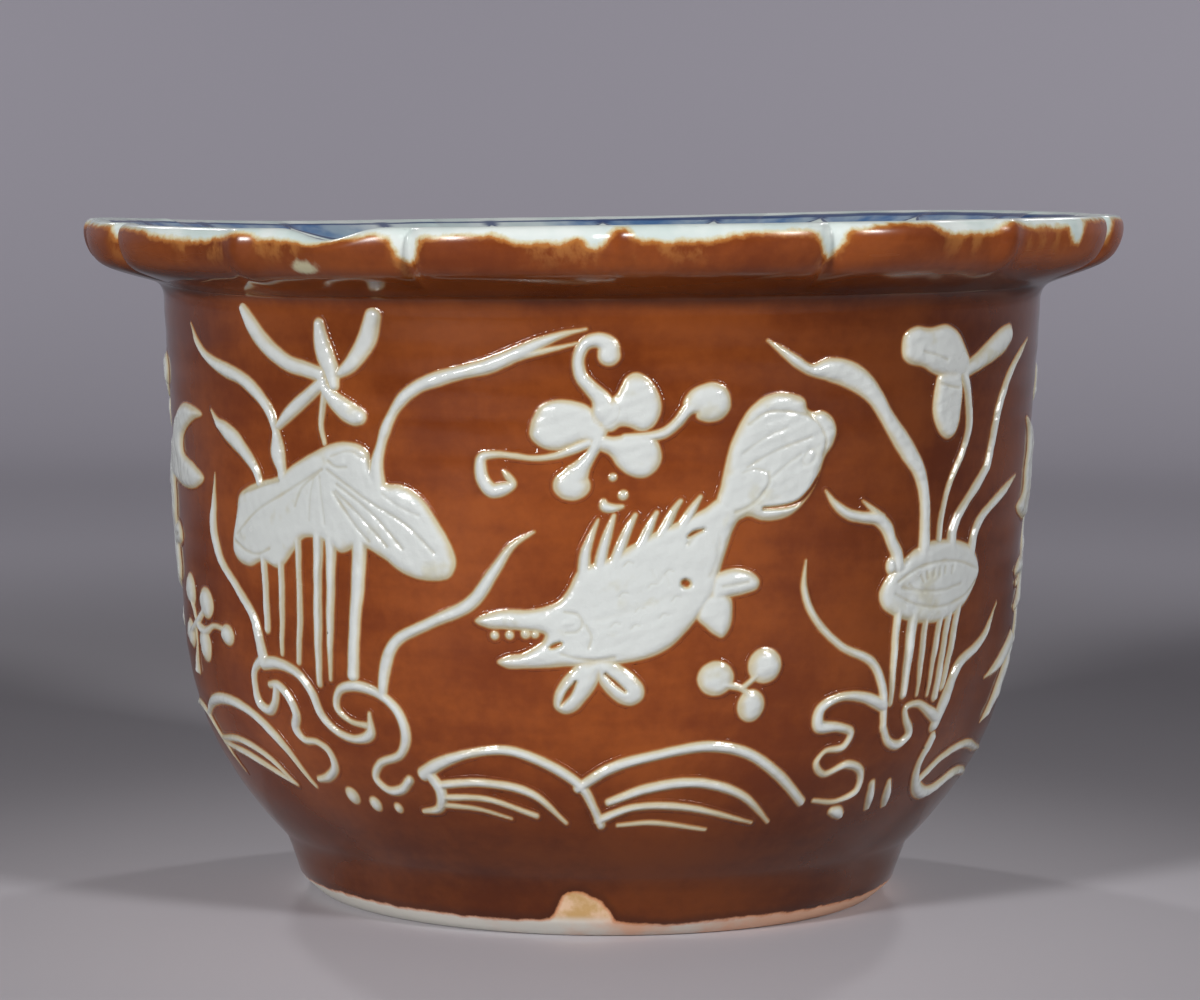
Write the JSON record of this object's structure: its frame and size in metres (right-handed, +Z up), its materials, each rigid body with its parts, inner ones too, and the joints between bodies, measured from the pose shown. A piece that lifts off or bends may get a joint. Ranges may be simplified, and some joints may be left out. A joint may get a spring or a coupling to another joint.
{
  "type": "jardiniere",
  "caption": "Glazed porcelain plant pot on a foot ring, with a spreading lobed rim, a drain hole and a raised white slip frieze of fish, lotus and waves.",
  "frame": {"origin": "centre of the foot ring, on the plane that it stands on", "axes": "+Z up, -Y towards the front of the frieze, +X to a viewer's right"},
  "size_m": [0.2612, 0.2612, 0.1718],
  "materials": {
    "glazed_body": "thin glossy iron-brown glaze over porcelain, white and blue at the rim, bare at the foot's edge",
    "white_slip": "raised white slip under clear glaze, cream where it is thin"
  },
  "bodies": {
    "root": {"front_berries": "white_slip", "front_fish": "white_slip", "front_scroll_flower": "white_slip", "front_wave_inner_arc": "white_slip", "front_wave_middle_arc": "white_slip", "front_waves": "white_slip", "left_fish": "white_slip", "left_lotus_blossom": "white_slip", "left_lotus_leaf_clump": "white_slip", "left_root_scrolls": "white_slip", "left_round_sprig": "white_slip", "left_scroll_flower": "white_slip", "left_wave": "white_slip", "pot_body": "glazed_body", "rear_berries": "white_slip", "rear_fish": "white_slip", "rear_leaf_root_scrolls": "white_slip", "rear_leaf_wave": "white_slip", "rear_lotus_blossom": "white_slip", "rear_lotus_leaf_clump": "white_slip", "rear_pod_blossom": "white_slip", "rear_pod_root_scrolls": "white_slip", "rear_pod_wave": "white_slip", "rear_round_sprig": "white_slip", "rear_scroll_flower": "white_slip", "rear_seed_pod_clump": "white_slip", "rear_wave_middle_arc": "white_slip", "rear_waves": "white_slip", "right_fish": "white_slip", "right_lotus_blossom": "white_slip", "right_root_scrolls": "white_slip", "right_scroll_flower": "white_slip", "right_seed_pod_clump": "white_slip", "right_side_leaf": "white_slip", "right_side_weed": "white_slip", "right_wave": "white_slip", "slip_dash_1": "white_slip", "slip_dash_2": "white_slip", "slip_dash_3": "white_slip", "slip_dash_4": "white_slip", "slip_drop_1": "white_slip", "slip_drop_2": "white_slip", "slip_drop_3": "white_slip", "slip_drop_4": "white_slip", "slip_drop_5": "white_slip"}
  },
  "joints": []
}
